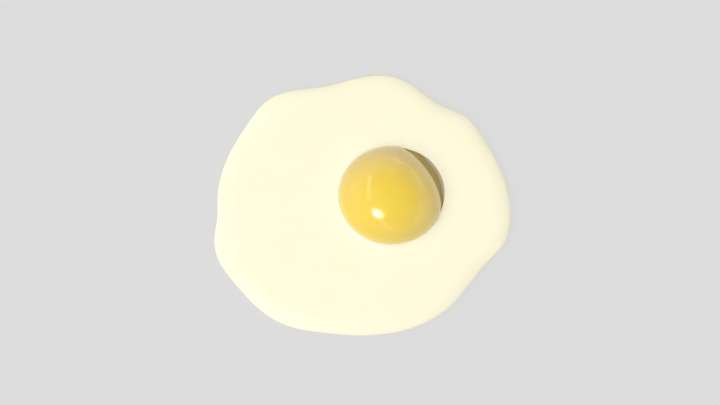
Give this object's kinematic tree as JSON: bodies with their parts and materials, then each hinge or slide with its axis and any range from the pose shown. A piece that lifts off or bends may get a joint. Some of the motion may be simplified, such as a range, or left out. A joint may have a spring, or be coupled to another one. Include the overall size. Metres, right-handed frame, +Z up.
{
  "type": "fried egg",
  "caption": "Fried egg, sunny side up: a flat lobed white with a low collar round a domed glossy yolk, and a narrow crescent gap beside the yolk.",
  "frame": {"origin": "on the flat underside, under the middle of the egg's outline", "axes": "+Z up, out of the side with the yolk; +X along the egg's longer side, towards the end nearer the yolk"},
  "size_m": [0.1102, 0.0967, 0.0198],
  "materials": {
    "set_white": "satin, moist",
    "soft_yolk": "wet gloss"
  },
  "bodies": {
    "root": {"egg_white": "set_white", "yolk": "soft_yolk"}
  },
  "joints": []
}
